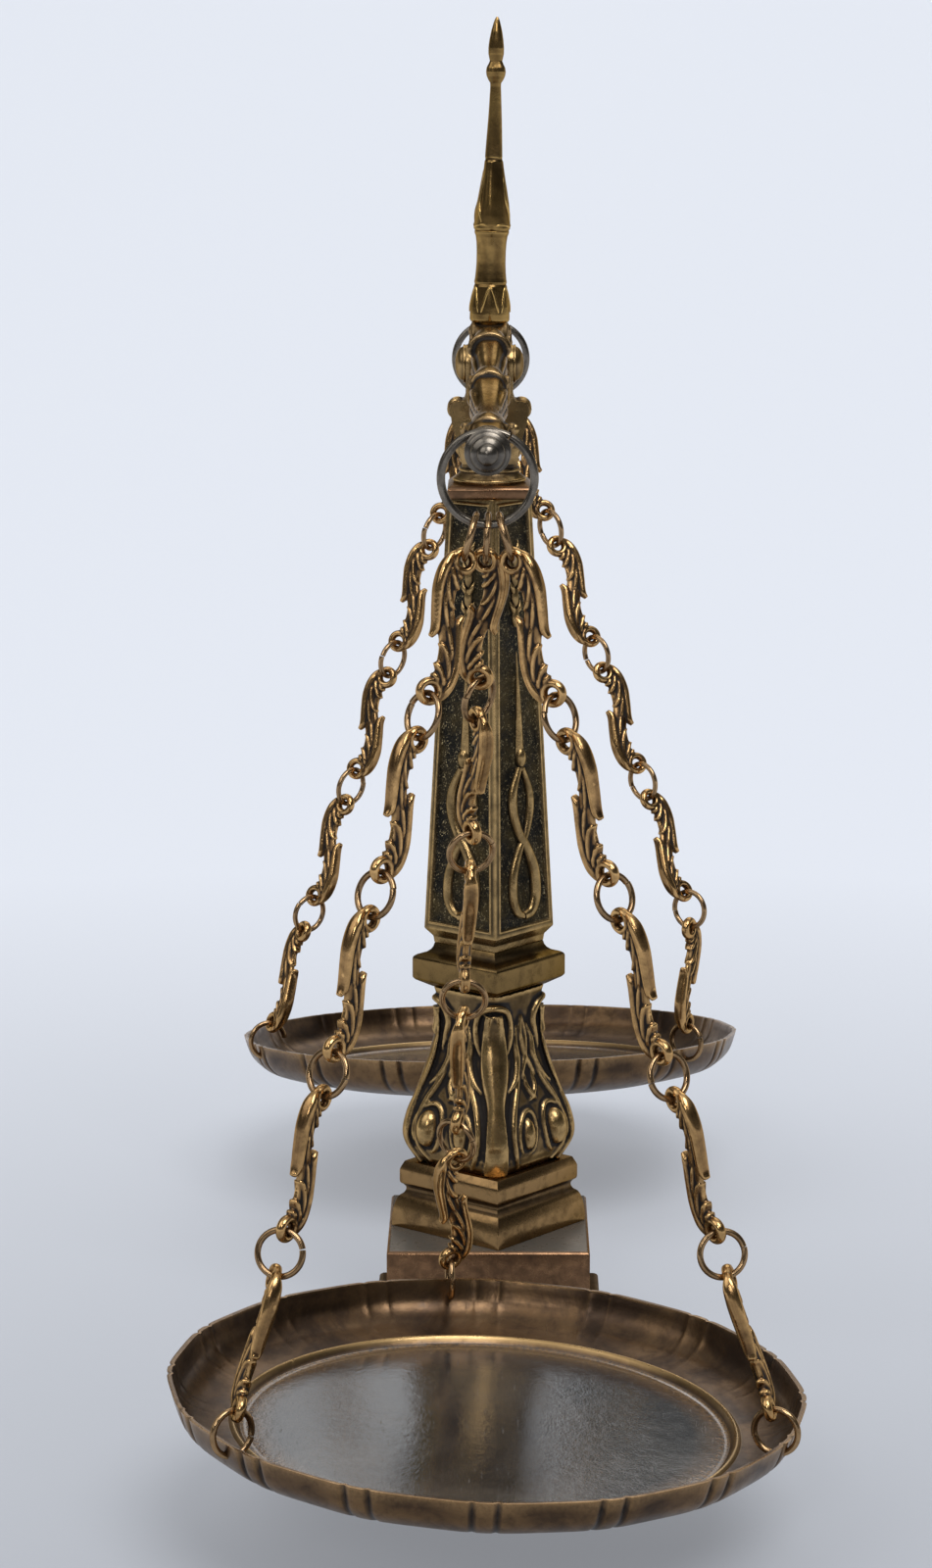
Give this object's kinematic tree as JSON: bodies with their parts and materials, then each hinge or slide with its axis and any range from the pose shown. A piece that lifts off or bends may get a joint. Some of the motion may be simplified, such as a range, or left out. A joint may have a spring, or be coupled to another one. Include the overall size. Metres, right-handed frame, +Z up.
{
  "type": "balance scale",
  "caption": "Ornamental balance scale with a square tapered column on a stepped foot, a scrolled beam that rocks in a fork, and pans hung on leaf-link chains.",
  "frame": {"origin": "middle of the flat underside, on the column's axis", "axes": "+Z up; +X along the beam towards the near pan; +Y to the right seen from the near pan"},
  "size_m": [0.6071, 0.2, 0.4681],
  "materials": {
    "antique_brass": "cast, dark in the recesses and rubbed bright on the high parts",
    "stippled_brass": "cast, with a dark stippled ground in the panels",
    "plinth_brass": "brown patina, satin",
    "dark_bronze": "dark patina, satin",
    "link_brass": "cast, rubbed bright on the high parts",
    "ring_brass": "drawn wire, tarnished",
    "grey_brass": "grey tarnish, satin",
    "pan_brass": "spun, brown patina on the wall, worn grey floor",
    "steel": "plain",
    "green_felt": "pressed felt"
  },
  "bodies": {
    "stand": {"felt_pad": "green_felt", "step_plate": "dark_bronze", "plinth_block": "plinth_brass", "foot_moulding": "antique_brass", "baluster": "antique_brass", "collar": "antique_brass", "column_shaft": "stippled_brass", "cap_plate": "antique_brass", "fork": "antique_brass", "tie_rod": "steel", "tie_washer": "steel", "tie_nut": "steel", "pivot_pin": "steel", "left_rosette": "antique_brass", "right_rosette": "antique_brass"},
    "beam": {"beam_casting": "antique_brass", "pivot_bush": "antique_brass", "near_knob": "grey_brass", "far_knob": "grey_brass", "pointer_stud": "steel", "pointer_collar": "antique_brass", "pointer_tube": "antique_brass", "pointer_calyx": "antique_brass", "pointer_tip": "antique_brass"},
    "near_stirrup_ring": {"near_stirrup": "grey_brass"},
    "near_hooks": {"near_hanger_rings": "ring_brass"},
    "near_pan_set": {"near_pan": "pan_brass", "near_back_links": "link_brass", "near_left_links": "link_brass", "near_right_links": "link_brass", "near_back_rings": "ring_brass", "near_left_rings": "ring_brass", "near_right_rings": "ring_brass"},
    "far_stirrup_ring": {"far_stirrup": "grey_brass"},
    "far_hooks": {"far_hanger_rings": "ring_brass"},
    "far_pan_set": {"far_pan": "pan_brass", "far_back_links": "link_brass", "far_left_links": "link_brass", "far_right_links": "link_brass", "far_back_rings": "ring_brass", "far_left_rings": "ring_brass", "far_right_rings": "ring_brass"}
  },
  "joints": [
    {"name": "beam_tilt", "type": "hinge", "parent": "stand", "child": "beam", "pos_m": [0, 0, 0.3497], "axis": [0, 1, 0], "range_deg": [-5, 5]},
    {"name": "near_stirrup_rock", "type": "hinge", "parent": "beam", "child": "near_stirrup_ring", "pos_m": [0.203, 0, 0.346], "axis": [0, 1, 0], "range_deg": [-5, 5]},
    {"name": "near_side_swing", "type": "hinge", "parent": "near_stirrup_ring", "child": "near_hooks", "pos_m": [0.203, 0, 0.3335], "axis": [1, 0, 0], "range_deg": [-6, 6]},
    {"name": "near_pan_swing", "type": "hinge", "parent": "near_hooks", "child": "near_pan_set", "pos_m": [0.203, 0, 0.315], "axis": [0, 1, 0], "range_deg": [-6, 6]},
    {"name": "far_stirrup_rock", "type": "hinge", "parent": "beam", "child": "far_stirrup_ring", "pos_m": [-0.203, 0, 0.346], "axis": [0, 1, 0], "range_deg": [-5, 5]},
    {"name": "far_side_swing", "type": "hinge", "parent": "far_stirrup_ring", "child": "far_hooks", "pos_m": [-0.203, 0, 0.3335], "axis": [1, 0, 0], "range_deg": [-6, 6]},
    {"name": "far_pan_swing", "type": "hinge", "parent": "far_hooks", "child": "far_pan_set", "pos_m": [-0.203, 0, 0.315], "axis": [0, 1, 0], "range_deg": [-6, 6]}
  ],
  "couplings": [
    {"joint": "near_stirrup_rock", "follows": "beam_tilt", "ratio": -1},
    {"joint": "far_stirrup_rock", "follows": "beam_tilt", "ratio": -1}
  ]
}
